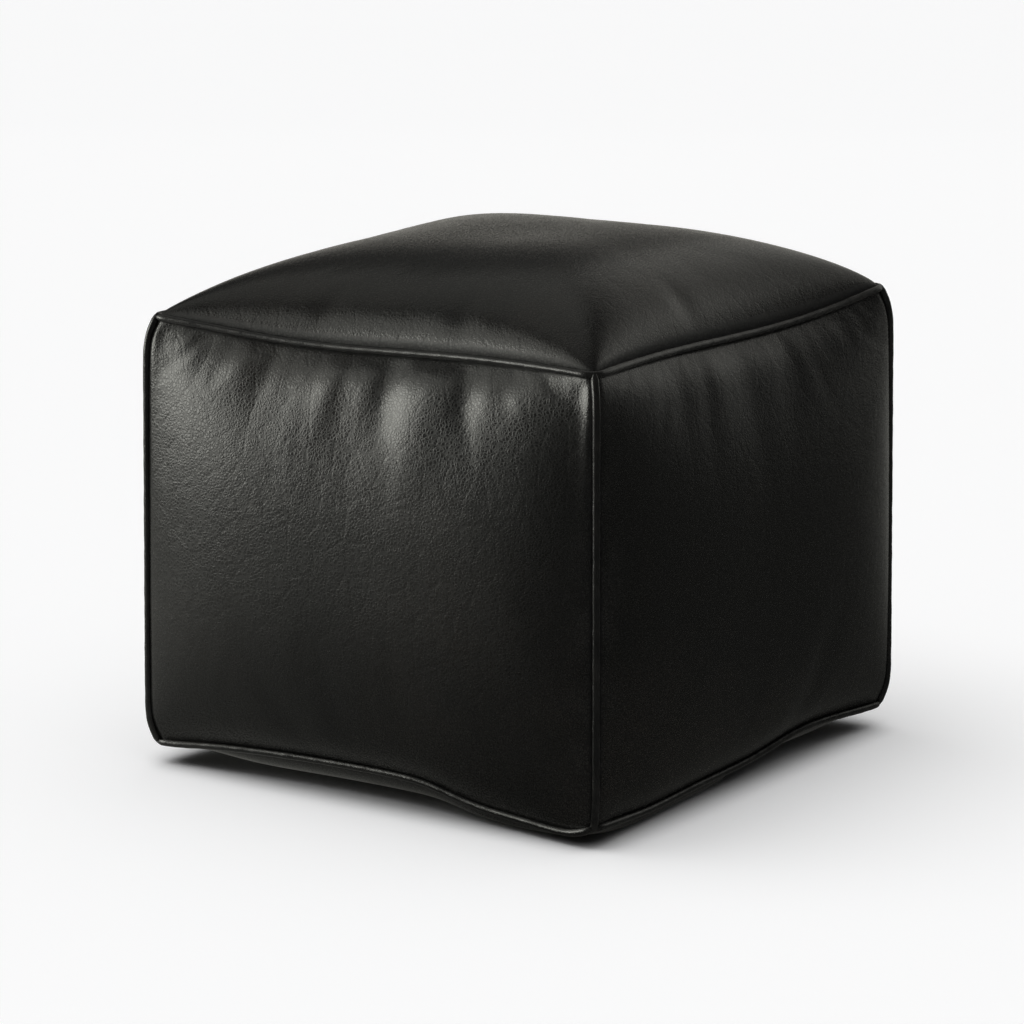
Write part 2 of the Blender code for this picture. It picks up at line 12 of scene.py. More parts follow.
import bpy
import numpy as np
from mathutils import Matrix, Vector


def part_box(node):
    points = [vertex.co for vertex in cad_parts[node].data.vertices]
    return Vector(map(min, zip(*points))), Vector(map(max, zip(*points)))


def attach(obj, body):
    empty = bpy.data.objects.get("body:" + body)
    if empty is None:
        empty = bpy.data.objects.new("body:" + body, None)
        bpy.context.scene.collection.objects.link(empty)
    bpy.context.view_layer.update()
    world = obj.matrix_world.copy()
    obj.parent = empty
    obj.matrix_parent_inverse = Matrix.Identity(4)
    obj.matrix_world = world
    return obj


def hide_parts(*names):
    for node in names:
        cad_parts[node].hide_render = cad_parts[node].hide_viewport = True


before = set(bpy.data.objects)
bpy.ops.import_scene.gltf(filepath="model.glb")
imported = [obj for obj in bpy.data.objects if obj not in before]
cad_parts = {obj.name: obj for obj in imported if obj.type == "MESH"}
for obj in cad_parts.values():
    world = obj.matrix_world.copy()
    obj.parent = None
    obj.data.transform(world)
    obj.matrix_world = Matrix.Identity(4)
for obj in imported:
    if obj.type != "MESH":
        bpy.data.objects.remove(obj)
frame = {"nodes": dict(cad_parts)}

log = logging.getLogger("pouf")
RGBA = tuple[float, float, float, float]
Array = np.ndarray


# ---------------------------------------------------------------- shader bench


class Signal:
    """One value in a material, which ordinary arithmetic extends with Math nodes."""

    def __init__(self, bench: "Bench", socket: Any) -> None:
        """Keeps the socket and the bench that its nodes are added to."""
        self.bench = bench
        self.socket = socket

    def _math(self, operation: str, first: Any, second: Any = None, clamp: bool = False) -> "Signal":
        """Adds one Math node.

        Args:
            operation: The Math node's operation.
            first: Its first value, a Signal or a number.
            second: Its second value, where the operation takes two.
            clamp: Whether the result is kept between 0 and 1.

        Returns:
            The node's value.
        """
        inputs = {0: first} if second is None else {0: first, 1: second}
        settings = {"operation": operation, "use_clamp": clamp}
        return self.bench.node("ShaderNodeMath", settings, inputs).out(0)

    def __add__(self, other: Any) -> "Signal":
        """This value plus another."""
        return self._math("ADD", self, other)

    def __mul__(self, other: Any) -> "Signal":
        """This value times another."""
        return self._math("MULTIPLY", self, other)

    def __sub__(self, other: Any) -> "Signal":
        """This value less another."""
        return self._math("SUBTRACT", self, other)

    def __rsub__(self, other: Any) -> "Signal":
        """Another value less this one."""
        return self._math("SUBTRACT", other, self)

    def __pow__(self, other: Any) -> "Signal":
        """This value to a power."""
        return self._math("POWER", self, other)

    __radd__ = __add__
    __rmul__ = __mul__

    def clamped(self) -> "Signal":
        """This value kept between 0 and 1."""
        return self._math("ADD", self, 0.0, clamp=True)

    def sine(self) -> "Signal":
        """The sine of this value."""
        return self._math("SINE", self)

    def absolute(self) -> "Signal":
        """This value without its sign."""
        return self._math("ABSOLUTE", self)

    def or_more(self, other: Any) -> "Signal":
        """The larger of this value and another."""
        return self._math("MAXIMUM", self, other)

    def ramp(self, low: float, high: float) -> "Signal":
        """Turns this value into a smooth rise from 0 to 1.

        Args:
            low: Where the rise starts.
            high: Where it ends.

        Returns:
            The rise.
        """
        settings = {"interpolation_type": "SMOOTHSTEP"}
        inputs = {"Value": self, "From Min": low, "From Max": high}
        return self.bench.node("ShaderNodeMapRange", settings, inputs).out("Result")


class Placed:
    """A node on the bench, with its outputs as signals."""

    def __init__(self, bench: "Bench", node: Any) -> None:
        """Keeps the node and its bench."""
        self.bench = bench
        self.node = node

    def out(self, name: str | int) -> Signal:
        """One of the node's outputs."""
        return Signal(self.bench, self.node.outputs[name])


class Bench:
    """A node tree being filled: a material's, or the world's."""

    def __init__(self, tree: Any) -> None:
        """Empties the tree."""
        self.tree = tree
        self.tree.nodes.clear()

    def node(self, kind: str, settings: Mapping[str, Any], inputs: Mapping[str | int, Any]) -> Placed:
        """Adds a node.

        Args:
            kind: The node's type.
            settings: Its own settings, which are set first.
            inputs: Values or signals for its sockets, by name or number.

        Returns:
            The node, with its outputs.
        """
        node = self.tree.nodes.new(kind)
        for name, value in settings.items():
            setattr(node, name, value)
        for name, value in inputs.items():
            if isinstance(value, Signal):
                self.tree.links.new(value.socket, node.inputs[name])
            else:
                node.inputs[name].default_value = value
        return Placed(self, node)

    def blend(self, share: Signal | float, first: Any, second: Any) -> Signal:
        """Mixes two colours.

        Args:
            share: How much of the second is taken.
            first: The first colour.
            second: The second colour.

        Returns:
            The mixed colour.
        """
        inputs = {0: share, 6: first, 7: second}
        return self.node("ShaderNodeMix", {"data_type": "RGBA"}, inputs).out(2)

    def noise(self, where: Signal, scale: float, detail: float = 3.0, rough: float = 0.5) -> Signal:
        """Cloudy variation, 0 to 1, with this many clouds to the metre."""
        inputs = {"Vector": where, "Scale": scale, "Detail": detail, "Roughness": rough}
        return self.node("ShaderNodeTexNoise", {}, inputs).out("Fac")

    def cells(self, where: Signal, scale: float, feature: str = "DISTANCE_TO_EDGE") -> Signal:
        """Distances in a pattern of irregular cells, with this many cells to the metre."""
        inputs = {"Vector": where, "Scale": scale}
        return self.node("ShaderNodeTexVoronoi", {"feature": feature}, inputs).out("Distance")

    def place(self) -> Signal:
        """The point being shaded, in metres."""
        return self.node("ShaderNodeTexCoord", {}, {}).out("Object")

    def stretched(self, where: Signal, scale: Sequence[float]) -> Signal:
        """A place with each of its directions scaled."""
        return self.node("ShaderNodeMapping", {}, {"Vector": where, "Scale": tuple(scale)}).out(0)

    def measure(self, name: str) -> Signal:
        """A measure that the mesh carries at each point."""
        return self.node("ShaderNodeAttribute", {"attribute_name": name}, {}).out("Fac")

    def relief(self, height: Signal, depth: float, strength: float, over: Signal | None = None) -> Signal:
        """Adds surface relief.

        Args:
            height: Its height, from 0 to 1.
            depth: The metres that a height of 1 stands for.
            strength: How much of it is used.
            over: A finer relief that it lies under.

        Returns:
            The way the surface faces.
        """
        inputs = {"Height": height, "Distance": depth, "Strength": strength}
        if over is not None:
            inputs["Normal"] = over
        return self.node("ShaderNodeBump", {}, inputs).out(0)

    def surface(self, **sockets: Any) -> None:
        """Ends the material in a principled surface.

        Args:
            sockets: The surface's sockets, with underscores for spaces.
        """
        named = {name.replace("_", " "): value for name, value in sockets.items()}
        shader = self.node("ShaderNodeBsdfPrincipled", {}, named).out(0)
        self.node("ShaderNodeOutputMaterial", {}, {"Surface": shader})


def new_material(name: str) -> tuple[Any, Bench]:
    """Starts a material.

    Args:
        name: The material's name.

    Returns:
        The empty material, and the bench that it is made on.
    """
    material = bpy.data.materials.new(name)
    material.use_nodes = True
    return material, Bench(material.node_tree)


# ---------------------------------------------------------------- finishes


@dataclass(frozen=True)
class LeatherFinish:
    """Smooth dyed leather, with a fine pebble grain, a soft polish, and rough seam grooves darkened with
    painted shade.
    """

    name: str = "dyed_leather"
    dye: RGBA = (0.0058, 0.0058, 0.0050, 1.0)
    bloom: RGBA = (0.0150, 0.0128, 0.0105, 1.0)
    rub: RGBA = (0.0180, 0.0172, 0.0155, 1.0)
    pit_and_groove_shade: RGBA = (0.0016, 0.0016, 0.0015, 1.0)
    roughness: float = 0.205
    grain_to_the_metre: float = 340.0
    grain_wander: float = 0.0035
    grain_depth: float = 0.00009
    crease_depth: float = 0.0009
    crease_strength: float = 0.22
    rubbed_band: tuple[float, float] = (0.002, 0.030)
    shaded_groove_band: tuple[float, float] = (0.0006, 0.0042)

    def make(self) -> Any:
        """Makes the material.

        Returns:
            The material.
        """
        material, bench = new_material(self.name)
        place = bench.place()
        wander = bench.noise(place, 120.0, 2.0)
        drift = bench.node("ShaderNodeTexNoise", {}, {"Vector": place, "Scale": 90.0}).out("Color")
        shift = {0: drift, "Scale": self.grain_wander}
        swirl = bench.node("ShaderNodeVectorMath", {"operation": "SCALE"}, shift).out(0)
        grained = bench.node("ShaderNodeVectorMath", {"operation": "ADD"}, {0: place, 1: swirl}).out(0)
        pebbles = bench.cells(grained, self.grain_to_the_metre).ramp(0.0, 0.28)
        pores = bench.cells(grained, self.grain_to_the_metre * 2.3, "F1").ramp(0.0, 0.35)
        creases = bench.cells(bench.stretched(grained, (1.0, 1.0, 0.62)), 46.0).ramp(0.0, 0.09)
        clouds = bench.noise(place, 5.0, 4.0, 0.55)
        patches = bench.noise(place, 17.0, 5.0, 0.6)
        seam = bench.measure("seam")
        worn = 1.0 - seam.ramp(*self.rubbed_band)
        # Near the seams the colour darkens: painted shade in the grooves beside the piping. The same mask
        # also roughens the grooves.
        dull_and_shaded_groove = 1.0 - seam.ramp(*self.shaded_groove_band)

        fine = bench.relief(pebbles * 0.75 + pores * 0.25, self.grain_depth, 0.85)
        soft_relief = creases * 0.25 + wander * 0.75
        normal = bench.relief(soft_relief, self.crease_depth, self.crease_strength, fine)

        colour = bench.blend((clouds.ramp(0.42, 0.78) * 0.75).clamped(), self.dye, self.bloom)
        colour = bench.blend((worn * patches.ramp(0.35, 0.7) * 0.6).clamped(), colour, self.rub)
        # The colour darkens in the grain's pits, and with painted shade in the seam grooves.
        dark = ((1.0 - pebbles) * 0.45 + dull_and_shaded_groove * 0.6).clamped()
        colour = bench.blend(dark, colour, self.pit_and_groove_shade)
        rough = self.roughness + (patches - 0.5) * 0.10 + (1.0 - pebbles) * 0.12 + dull_and_shaded_groove * 0.45
        bench.surface(
            Base_Color=colour,
            Roughness=rough.clamped(),
            Normal=normal,
            IOR=1.5,
            Specular_IOR_Level=0.5,
        )
        return material


@dataclass(frozen=True)
class PipingFinish:
    """The same leather pulled tight round a cord, so it shines more and shows cross creases."""

    name: str = "tight_leather"
    dye: RGBA = (0.0060, 0.0060, 0.0056, 1.0)
    rub: RGBA = (0.0160, 0.0150, 0.0130, 1.0)
    roughness: float = 0.18
    grain_to_the_metre: float = 700.0
    grain_depth: float = 0.00010
    pucker_depth: float = 0.0006

    def make(self) -> Any:
        """Makes the material.

        Returns:
            The material.
        """
        material, bench = new_material(self.name)
        place = bench.place()
        pebbles = bench.cells(place, self.grain_to_the_metre).ramp(0.0, 0.28)
        puckers = bench.noise(place, 210.0, 3.0, 0.6)
        patches = bench.noise(place, 30.0, 4.0, 0.6)
        fine = bench.relief(pebbles, self.grain_depth, 0.6)
        normal = bench.relief(puckers, self.pucker_depth, 0.2, fine)
        colour = bench.blend((patches.ramp(0.40, 0.75) * 0.7).clamped(), self.dye, self.rub)
        rough = self.roughness + (patches - 0.5) * 0.12 + (1.0 - pebbles) * 0.06
        bench.surface(
            Base_Color=colour,
            Roughness=rough.clamped(),
            Normal=normal,
            IOR=1.5,
            Coat_Weight=0.1,
            Coat_Roughness=0.14,
            Coat_IOR=1.5,
        )
        return material


@dataclass(frozen=True)
class WovenFinish:
    """Cloth or tape: fine crossing threads."""

    name: str
    colour: RGBA
    threads_to_the_metre: float = 1800.0
    roughness: float = 0.85
    fuzz: float = 0.25

    def make(self) -> Any:
        """Makes the material.

        Returns:
            The material.
        """
        material, bench = new_material(self.name)
        place = bench.place()
        parts = bench.node("ShaderNodeSeparateXYZ", {}, {0: place})
        warp = (parts.out(0) * self.threads_to_the_metre).sine()
        weft = (parts.out(1) * self.threads_to_the_metre).sine()
        rise = (parts.out(2) * self.threads_to_the_metre).sine()
        weave = (warp * weft + rise * (warp + weft) * 0.5) * 0.5 + 0.5
        patches = bench.noise(place, 45.0, 4.0, 0.6)
        dark = tuple(c * 0.45 for c in self.colour[:3]) + (1.0,)
        colour = bench.blend((weave * 0.6 + patches * 0.4).clamped(), dark, self.colour)
        bench.surface(
            Base_Color=colour,
            Roughness=(self.roughness + (patches - 0.5) * 0.1).clamped(),
            Normal=bench.relief(weave, 0.00025, 0.7),
            Sheen_Weight=self.fuzz,
        )
        return material


@dataclass(frozen=True)
class CastFinish:
    """Cast or moulded zip parts: metal with scuffs, or hard nylon."""

    name: str
    colour: RGBA
    metallic: float
    roughness: float

    def make(self) -> Any:
        """Makes the material.

        Returns:
            The material.
        """
        material, bench = new_material(self.name)
        place = bench.place()
        tumble = bench.noise(place, 900.0, 4.0, 0.6)
        scuffs = bench.noise(bench.stretched(place, (300.0, 1500.0, 600.0)), 1.0, 3.0, 0.6)
        tarnish = bench.noise(place, 160.0, 4.0, 0.6)
        dark = tuple(c * 0.5 for c in self.colour[:3]) + (1.0,)
        bench.surface(
            Base_Color=bench.blend(tarnish.ramp(0.35, 0.7), dark, self.colour),
            Metallic=self.metallic,
            Roughness=(self.roughness + (scuffs - 0.5) * 0.3 + (tarnish - 0.5) * 0.15).clamped(),
            Normal=bench.relief(tumble + scuffs, 0.00006, 0.6),
        )
        return material


class Finishes:
    """Every finish on the pouf, made once."""

    def __init__(self) -> None:
        """Makes the materials."""
        self.leather = LeatherFinish().make()
        self.piping = PipingFinish().make()
        self.tape = WovenFinish("zip_tape_weave", (0.012, 0.012, 0.012, 1.0), 5200.0).make()
        self.liner = WovenFinish("liner_weave", (0.48, 0.45, 0.39, 1.0), 2400.0).make()
        self.stuffing = WovenFinish("wadding", (0.60, 0.57, 0.50, 1.0), 900.0, 0.95, 0.4).make()
        self.teeth = CastFinish("moulded_teeth", (0.020, 0.020, 0.021, 1.0), 0.0, 0.38).make()
        self.metal = CastFinish("dark_cast_metal", (0.23, 0.21, 0.18, 1.0), 1.0, 0.36).make()


# ---------------------------------------------------------------- making meshes


def clear_selection() -> None:
    """Deselects everything, so an operator acts only on what is chosen next."""
    if bpy.context.object is not None and bpy.context.object.mode != "OBJECT":
        bpy.ops.object.mode_set(mode="OBJECT")
    bpy.ops.object.select_all(action="DESELECT")


def take_up(piece: Any) -> None:
    """Makes a piece the only selected object, and the active one.

    Args:
        piece: The piece.
    """
    clear_selection()
    piece.select_set(True)
    bpy.context.view_layer.objects.active = piece


def places(piece: Any) -> Array:
    """Reads the places of a mesh's points.

    Args:
        piece: The piece.

    Returns:
        A row for each point.
    """
    flat = np.empty(len(piece.data.vertices) * 3)
    piece.data.vertices.foreach_get("co", flat)
    return flat.reshape(-1, 3)


def put(piece: Any, points: Array) -> None:
    """Moves a mesh's points to new places."""
    piece.data.vertices.foreach_set("co", np.ascontiguousarray(points).ravel())
    piece.data.update()


def new_sheet(name: str, across: int, up: int) -> tuple[Any, Array, Array]:
    """A flat sheet of square cells, ready to be shaped.

    Args:
        name: The piece's name.
        across: Cells from side to side.
        up: Cells from bottom to top.

    Returns:
        The piece, and each point's place across and up it, from -1 to 1.
    """
    clear_selection()
    bpy.ops.mesh.primitive_grid_add(x_subdivisions=across, y_subdivisions=up, size=2.0, location=(0, 0, 0))
    piece = bpy.context.object
    piece.name = name
    piece.data.name = name
    flat = places(piece)
    return piece, flat[:, 0].copy(), flat[:, 1].copy()


def finish_with(piece: Any, kind: str, **settings: Any) -> None:
    """Adds a modifier, sets it, and applies it.

    Args:
        piece: The piece.
        kind: The modifier's type.
        settings: Its settings.
    """
    take_up(piece)
    modifier = piece.modifiers.new(kind.title(), kind)
    for name, value in settings.items():
        setattr(modifier, name, value)
    bpy.ops.object.modifier_apply(modifier=modifier.name)


def smooth_shade(piece: Any, angle: float = 50.0) -> None:
    """Shades a piece smooth, except across edges sharper than the angle in degrees."""
    take_up(piece)
    bpy.ops.object.shade_smooth_by_angle(angle=math.radians(angle))


def dress(piece: Any, material: Any) -> None:
    """Gives a piece its only material."""
    piece.data.materials.clear()
    piece.data.materials.append(material)


# ---------------------------------------------------------------- form of the cover


class Side(Enum):
    """The pouf's four sides, as quarter turns from the front."""

    FRONT = 0
    RIGHT = 1
    BACK = 2
    LEFT = 3

    def turned(self, points: Array) -> Array:
        """Turns points from the front's place to this side's.

        Args:
            points: A row for each point.

        Returns:
            The points, as they lie at this side.
        """
        cosine, sine = ((1, 0), (0, 1), (-1, 0), (0, -1))[self.value]
        x, y = points[:, 0], points[:, 1]
        return np.stack([x * cosine - y * sine, x * sine + y * cosine, points[:, 2]], 1)


@dataclass(frozen=True)
class Ring:
    """The square line of a seam round the top or the base.

    Each side bows in by draw and up by lift, and sways to and fro. Each side's right-hand corner drops
    by its own amount, and a side may sag: at a place along it, over a reach, by a depth.
    """

    half: float
    height: float
    draw: float
    lift: float
    radius: float = 0.012
    sway: Mapping[Side, float] = field(default_factory=dict)
    drops: tuple[float, float, float, float] = (0.0, 0.0, 0.0, 0.0)
    drop_reach: float = 0.045
    sags: Mapping[Side, tuple[float, float, float]] = field(default_factory=dict)
    outward: float = 0.8
    upward: float = 0.6

    def run(self, side: Side, s: Array, tuck: float = 0.0) -> Array:
        """One side of the seam line, as it lies at the front.

        Args:
            side: Which side it is.
            s: Places along it, from -1 to 1.
            tuck: How far behind the line the points lie.

        Returns:
            A point for each place.
        """
        half = self.half - tuck * self.outward
        radius = self.radius - tuck * self.outward
        reach = half - radius * (1 - math.sqrt(0.5))
        along = s * reach
        over = np.clip(np.abs(along) - (half - radius), 0, radius)
        out = half - radius + np.sqrt(radius**2 - over**2)
        bow = 1 - s**2
        to_corner = (1 - np.abs(s)) * half
        own_drop = np.where(s > 0, self.drops[side.value], self.drops[side.value - 1])
        z = (
            self.height
            + self.lift * bow
            - own_drop * np.exp(-((to_corner / self.drop_reach) ** 2))
            + self.sway.get(side, 0.0) * np.sin(math.pi * s)
            - tuck * self.upward
        )
        if side in self.sags:
            middle, reach_of_sag, depth = self.sags[side]
            z = z - depth * np.exp(-(((s - middle) / reach_of_sag) ** 4)) * (1 - s**12)
        return np.stack([along, -(out - self.draw * bow), z], 1)

    def corner(self, tuck: float = 0.0) -> float:
        """How far the seam's corner is from the middle, across either side."""
        half = self.half - tuck * self.outward
        return half - (self.radius - tuck * self.outward) * (1 - math.sqrt(0.5))


@dataclass(frozen=True)
class Swell:
    """How a stuffed panel stands out between its seams."""

    crown: float
    power: float
    fullness: float
    ease: float = 0.012
    corners: float = 0.05

    def profile(self, a: Array) -> Array:
        """The rise along one direction.

        Args:
            a: Places along it, from -1 to 1.

        Returns:
            The rise at each place, from 0 at the seams to 1 in the middle.
        """
        room = np.clip(1 - np.abs(a) ** self.fullness, 0, 1)
        low = self.ease**self.power
        return ((room + self.ease) ** self.power - low) / ((1 + self.ease) ** self.power - low)

    def height(self, s: Array, t: Array) -> Array:
        """How far the panel stands out at each place; its corners fill out as that number grows."""
        across, up = (np.maximum(self.profile(a), 1e-6) ** -self.corners for a in (s, t))
        return self.crown * (across + up - 1) ** (-1 / self.corners)


@dataclass(frozen=True)
class Fold:
    """A soft fold in a panel, which fades towards its end: a ridge, or a dent if its height is negative."""

    start: tuple[float, float]
    end: tuple[float, float]
    width: float
    height: float

    def rise(self, across: Array, up: Array, half_width: float, half_height: float) -> Array:
        """How far the fold lifts each point.

        Args:
            across: Places across the panel, from -1 to 1.
            up: Places up the panel, from -1 to 1.
            half_width: Half the panel's width.
            half_height: Half the panel's height.

        Returns:
            The lift at each point.
        """
        size = np.array([half_width, half_height])
        points = np.stack([across, up], 1) * size
        a, b = np.array(self.start) * size, np.array(self.end) * size
        run = b - a
        share = np.clip((points - a) @ run / (run @ run), 0, 1)
        away = np.linalg.norm(points - a - share[:, None] * run, axis=1)
        taper = (1 - share) ** 2 * (1 + 2 * share)
        return self.height * taper * np.exp(-((away / self.width) ** 2))


@dataclass
class Cage:
    """The seam lines that the panels are sewn to and the piping follows."""

    top: Ring
    base: Ring
    swing: float = 0.0061
    swing_reach: float = 0.0141
    tuck: float = 0.0026

    def corner_line(self, side: Side, t: Array, tuck: float = 0.0) -> Array:
        """A corner seam: its distance from the middle across either side, and its height.

        Args:
            side: The side whose right-hand end the seam is at.
            t: Places up it, from -1 to 1.
            tuck: How far behind the line the points lie.

        Returns:
            A row of distance and height for each place.
        """
        v = (t + 1) / 2
        low = self.base.run(side, np.array([1.0]), tuck)[0, 2]
        high = self.top.run(side, np.array([1.0]), tuck)[0, 2]
        away = (1 - v) * self.base.corner(tuck) + v * self.top.corner(tuck)
        end = (1 - np.abs(t)) * (high - low) / 2
        away = away + self.swing * (1 - np.exp(-((end / self.swing_reach) ** 1.5)))
        return np.stack([away, low + (high - low) * v], 1)

    def side_patch(self, side: Side, s: Array, t: Array) -> Array:
        """The flat-sewn surface between a side's four seams, as it lies at the front.

        Args:
            side: Which side it is.
            s: Places across, from -1 to 1.
            t: Places up, from -1 to 1.

        Returns:
            A point for each place.
        """
        u, v = ((s + 1) / 2)[:, None], ((t + 1) / 2)[:, None]
        low, high = self.base.run(side, s, self.tuck), self.top.run(side, s, self.tuck)
        line = self.corner_line(Side((side.value - 1) % 4), t, self.tuck)
        left = np.stack([-line[:, 0], -line[:, 0], line[:, 1]], 1)
        line = self.corner_line(side, t, self.tuck)
        right = np.stack([line[:, 0], -line[:, 0], line[:, 1]], 1)
        ends = np.array([-1.0, 1.0])
        low_ends, high_ends = self.base.run(side, ends, self.tuck), self.top.run(side, ends, self.tuck)
        flat = (
            (1 - u) * (1 - v) * low_ends[0]
            + u * (1 - v) * low_ends[1]
            + (1 - u) * v * high_ends[0]
            + u * v * high_ends[1]
        )
        return (1 - v) * low + v * high + (1 - u) * left + u * right - flat

    def cap_patch(self, ring: Ring, s: Array, t: Array) -> Array:
        """The flat-sewn surface inside the top or the base seam.

        Args:
            ring: The seam.
            s: Places from left to right, from -1 to 1.
            t: Places from front to back, from -1 to 1.

        Returns:
            A point for each place.
        """
        u, v = ((s + 1) / 2)[:, None], ((t + 1) / 2)[:, None]
        front = ring.run(Side.FRONT, s, self.tuck)
        back = Side.BACK.turned(ring.run(Side.BACK, -s, self.tuck))
        right = Side.RIGHT.turned(ring.run(Side.RIGHT, t, self.tuck))
        left = Side.LEFT.turned(ring.run(Side.LEFT, -t, self.tuck))
        reach = ring.corner(self.tuck)
        ends = [ring.run(side, np.array([1.0]), self.tuck)[0, 2] for side in Side]
        height = (1 - v) * (u * ends[0] + (1 - u) * ends[3]) + v * (u * ends[1] + (1 - u) * ends[2])
        corners = np.concatenate([(2 * u - 1) * reach, (2 * v - 1) * reach, height], 1)
        return (1 - v) * front + v * back + (1 - u) * left + u * right - corners


# ---------------------------------------------------------------- cloth


@dataclass(frozen=True)
class Ease:
    """How the cut leather settles over the stuffing when its panel is sewn in with ease."""

    frames: int = 20
    pressure: float = 4.0
    spare: float = 0.014
    stiffness: float = 18.0
    bending: float = 1.6
    most: float = 0.004
    smoothing: float = 7.0
    quality: int = 6
    mass: float = 0.35
    damping: float = 2.0

    def settle(self, piece: Any, shape: tuple[int, int]) -> Array:
        """Lets the panel puff out on its seams, and keeps the small creases that form.

        Args:
            piece: The panel, a sheet of cells in rows.
            shape: Its rows and columns of points.

        Returns:
            How far each point moves.
        """
        before = places(piece)
        rows, columns = shape
        number = np.arange(rows * columns).reshape(shape)
        rim = np.unique(np.concatenate([number[0], number[-1], number[:, 0], number[:, -1]]))
        sewn = piece.vertex_groups.new(name="sewn")
        sewn.add(rim.tolist(), 1.0, "REPLACE")
        take_up(piece)
        modifier = piece.modifiers.new("Cloth", "CLOTH")
        cloth = modifier.settings
        cloth.quality = self.quality
        cloth.mass = self.mass
        cloth.tension_stiffness = cloth.compression_stiffness = self.stiffness
        cloth.shear_stiffness = self.stiffness * 0.5
        cloth.bending_stiffness = self.bending
        cloth.air_damping = self.damping
        cloth.use_pressure = True
        cloth.uniform_pressure_force = self.pressure
        cloth.shrink_min = -self.spare
        cloth.vertex_group_mass = sewn.name
        cloth.effector_weights.gravity = 0.0
        modifier.point_cache.frame_start = 1
        modifier.point_cache.frame_end = self.frames
        scene = bpy.context.scene
        for number_of_frame in range(1, self.frames + 1):
            scene.frame_set(number_of_frame)
        bpy.ops.object.modifier_apply(modifier=modifier.name)
        scene.frame_set(1)
        moved = (places(piece) - before).reshape(rows, columns, 3)
        creases = (moved - blurred(moved, self.smoothing)).reshape(-1, 3)
        piece.vertex_groups.clear()
        length = np.linalg.norm(creases, axis=1, keepdims=True)
        creases *= self.most * np.tanh(length / self.most) / np.maximum(length, 1e-9)
        put(piece, before)
        return creases


def blurred(grid: Array, radius: float) -> Array:
    """Smooths a grid of values both ways.

    Args:
        grid: The values, in rows and columns.
        radius: How many cells the smoothing reaches.

    Returns:
        The smoothed values.
    """
    steps = np.arange(-int(radius * 2.5), int(radius * 2.5) + 1)
    weights = np.exp(-((steps / radius) ** 2) / 2)
    weights /= weights.sum()
    for axis in (0, 1):
        span = len(steps) // 2
        padding = [(span, span) if k == axis else (0, 0) for k in range(3)]
        wide = np.pad(grid, padding, mode="reflect", reflect_type="odd")
        grid = sum(w * np.take(wide, range(k, k + grid.shape[axis]), axis) for k, w in enumerate(weights))
    return grid


# ---------------------------------------------------------------- panels


@dataclass
class LeatherPanel:
    """One stuffed panel of the cover."""

    name: str
    stands_for: tuple[str, ...]
    cage: Cage
    cells: tuple[int, int] = (84, 76)
    swell: Swell = Swell(0.0325, 0.706, 2.6)
    crowding: float = 1.45
    folds: tuple[Fold, ...] = ()
    creasing: float = 0.5
    crease_reach: float = 0.060
    calm: float = 0.25
    ease: Ease = Ease()
    thickness: float = 0.0014
    faces_down: bool = False
    seam_hold: float = 0.006
    fold_hold: float = 0.010
    corner_calm: tuple[float, float] = (0.8, 0.05)

    def spread(self, a: Array) -> Array:
        """Crowds the cells towards the seams, where the leather turns most."""
        return np.sign(a) * (1 - (1 - np.abs(a)) ** self.crowding)

    def form(self, s: Array, t: Array) -> Array:
        """The panel's smooth form. Each kind of panel has its own."""
        raise NotImplementedError

    def half_sizes(self) -> tuple[float, float]:
        """Half the panel's width and height."""
        raise NotImplementedError

    def build(self, finish: Any, body: str) -> Any:
        """Cuts, sews in, stuffs and dresses the panel.

        Args:
            finish: Its leather.
            body: The body that it rides on.

        Returns:
            The panel.
        """
        piece, a, b = new_sheet(self.name, *self.cells)
        s, t = self.spread(a), self.spread(b)
        put(piece, self.form(s, t))
        half_width, half_height = self.half_sizes()
        away = np.minimum((1 - np.abs(s)) * half_width, (1 - np.abs(t)) * half_height)
        if self.creasing:
            columns = self.cells[0] + 1
            creases = self.ease.settle(piece, (len(a) // columns, columns))
            from_gather = (1 - t) * half_height
            keep = self.calm + (1 - self.calm) * np.exp(-((from_gather / self.crease_reach) ** 2))
            share, reach = self.corner_calm
            by_corner = 1 - share * np.exp(-(((1 - np.abs(s)) * half_width / reach) ** 2))
            hold = (1 - np.exp(-((away / self.seam_hold) ** 2))) * keep * by_corner
            put(piece, places(piece) + creases * (hold * self.creasing)[:, None])
        if self.folds:
            take_up(piece)
            normals = np.empty(len(a) * 3)
            piece.data.vertices.foreach_get("normal", normals)
            lift = sum(f.rise(s, t, half_width, half_height) for f in self.folds)
            lift = lift * (1 - np.exp(-((away / self.fold_hold) ** 2)))
            put(piece, places(piece) + normals.reshape(-1, 3) * lift[:, None])
        self.rest(piece)
        if self.faces_down:
            take_up(piece)
            bpy.ops.object.mode_set(mode="EDIT")
            bpy.ops.mesh.select_all(action="SELECT")
            bpy.ops.mesh.flip_normals()
            bpy.ops.object.mode_set(mode="OBJECT")
        seam = piece.data.attributes.new("seam", "FLOAT", "POINT")
        seam.data.foreach_set("value", away.astype(np.float32))
        finish_with(piece, "SUBSURF", levels=1, render_levels=1, boundary_smooth="PRESERVE_CORNERS")
        finish_with(piece, "SOLIDIFY", thickness=self.thickness, offset=-1.0)
        smooth_shade(piece)
        dress(piece, finish)
        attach(piece, body)
        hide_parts(*self.stands_for)
        return piece

    def rest(self, piece: Any) -> None:
        """Flattens what rests on the floor.

        Args:
            piece: The panel.
        """
        points = places(piece)
        points[:, 2] = np.maximum(points[:, 2], 0.0)
        put(piece, points)


